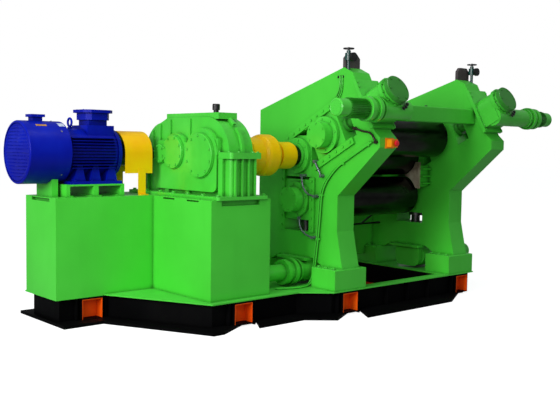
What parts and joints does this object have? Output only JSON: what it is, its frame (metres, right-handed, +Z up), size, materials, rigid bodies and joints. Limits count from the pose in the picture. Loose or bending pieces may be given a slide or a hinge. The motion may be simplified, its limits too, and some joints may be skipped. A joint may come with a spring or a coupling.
{
  "type": "three-roll rubber calender",
  "caption": "Inclined-top three-roll rubber calender on a black bed with its electric motor, gearbox, gear coupling and powered roll-gap screws.",
  "frame": {"origin": "on the floor below the middle roll's axis, inside the footprint of the base", "axes": "+X along the rolls from the motor to the far frame, -Y the working side with the overhanging nose, +Z up"},
  "size_m": [5.36, 2.4966, 2.5345],
  "materials": {
    "green_paint": "gloss",
    "dark_green": "satin",
    "black_bed": "satin",
    "pit_orange": "satin",
    "blue_paint": "gloss",
    "yellow_paint": "gloss",
    "dark_steel": "satin",
    "roll_steel": "polished",
    "beige_plate": "matte",
    "grey_plate": "satin",
    "teal_paint": "gloss",
    "black_part": "gloss",
    "orange_box": "gloss"
  },
  "bodies": {
    "plant": {"base_drive_bed": "black_bed", "base_front_beam": "black_bed", "base_rear_beam": "black_bed", "base_end_beam": "black_bed", "pit_floor": "pit_orange", "lifting_pockets": "pit_orange", "drive_deck": "green_paint", "pit_deck": "green_paint", "motor_plinth": "green_paint", "gearbox_plinth": "green_paint", "motor_stand": "green_paint", "cowl_bracket": "green_paint", "gearbox_lower_case": "green_paint", "gearbox_upper_case": "green_paint", "gearbox_cover": "green_paint", "gearbox_bearing_caps": "green_paint", "gearbox_output_ring": "green_paint", "near_frame": "green_paint", "far_frame": "green_paint", "frame_feet": "green_paint", "middle_bearing_blocks": "green_paint", "slot_retainers": "green_paint", "nose_beam": "green_paint", "rear_beam": "green_paint", "upper_screw_drives": "green_paint", "upper_gap_motors": "green_paint", "lower_screw_drives": "green_paint", "lower_gap_motors": "green_paint", "guide_brackets": "green_paint", "rear_panel": "green_paint", "gear_guard": "green_paint", "frame_conduits": "green_paint", "motor_frame": "blue_paint", "motor_fan_cowl": "blue_paint", "motor_terminal_box": "blue_paint", "cowl_terminal_box": "blue_paint", "coupling_guard": "yellow_paint", "drive_coupling": "dark_steel", "gearbox_breather": "dark_steel", "screw_drive_caps": "dark_green", "stock_guides": "beige_plate", "peak_plates": "grey_plate", "valve_bodies": "teal_paint", "rear_rail": "black_part", "frame_hoses": "black_part", "pressure_gauges": "black_part", "stop_box": "orange_box"},
    "middle_roll": {"middle_roll": "roll_steel", "roll_coupling": "yellow_paint"},
    "top_blocks": {"top_bearing_blocks": "green_paint", "top_screws": "dark_steel"},
    "top_roll": {"top_roll": "roll_steel"},
    "bottom_blocks": {"bottom_bearing_blocks": "green_paint", "bottom_screws": "dark_steel"},
    "bottom_roll": {"bottom_roll": "roll_steel"},
    "near_hand_wheel": {"near_hand_wheel": "black_part"},
    "far_hand_wheel": {"far_hand_wheel": "black_part"}
  },
  "joints": [
    {"name": "middle_roll_turn", "type": "hinge", "parent": "plant", "child": "middle_roll", "pos_m": [0, 0, 1.51], "axis": [1, 0, 0], "continuous": true},
    {"name": "top_gap_slide", "type": "slide", "parent": "plant", "child": "top_blocks", "axis": [0, -0.8829, 0.4695], "range_m": [-0.012, 0.06]},
    {"name": "top_roll_turn", "type": "hinge", "parent": "top_blocks", "child": "top_roll", "pos_m": [0, -0.38673, 1.71563], "axis": [1, 0, 0], "continuous": true},
    {"name": "bottom_gap_slide", "type": "slide", "parent": "plant", "child": "bottom_blocks", "axis": [0, 0, 1], "range_m": [-0.06, 0.012]},
    {"name": "bottom_roll_turn", "type": "hinge", "parent": "bottom_blocks", "child": "bottom_roll", "pos_m": [0, 0, 1.072], "axis": [1, 0, 0], "continuous": true},
    {"name": "near_wheel_turn", "type": "hinge", "parent": "plant", "child": "near_hand_wheel", "pos_m": [0.184, -0.645, 2.522], "axis": [0, 0, 1], "range_deg": [-360, 360]},
    {"name": "far_wheel_turn", "type": "hinge", "parent": "plant", "child": "far_hand_wheel", "pos_m": [2.141, -0.645, 2.522], "axis": [0, 0, 1], "range_deg": [-360, 360]}
  ],
  "couplings": [
    {"joint": "top_roll_turn", "follows": "middle_roll_turn", "ratio": -1},
    {"joint": "bottom_roll_turn", "follows": "middle_roll_turn", "ratio": -1}
  ]
}
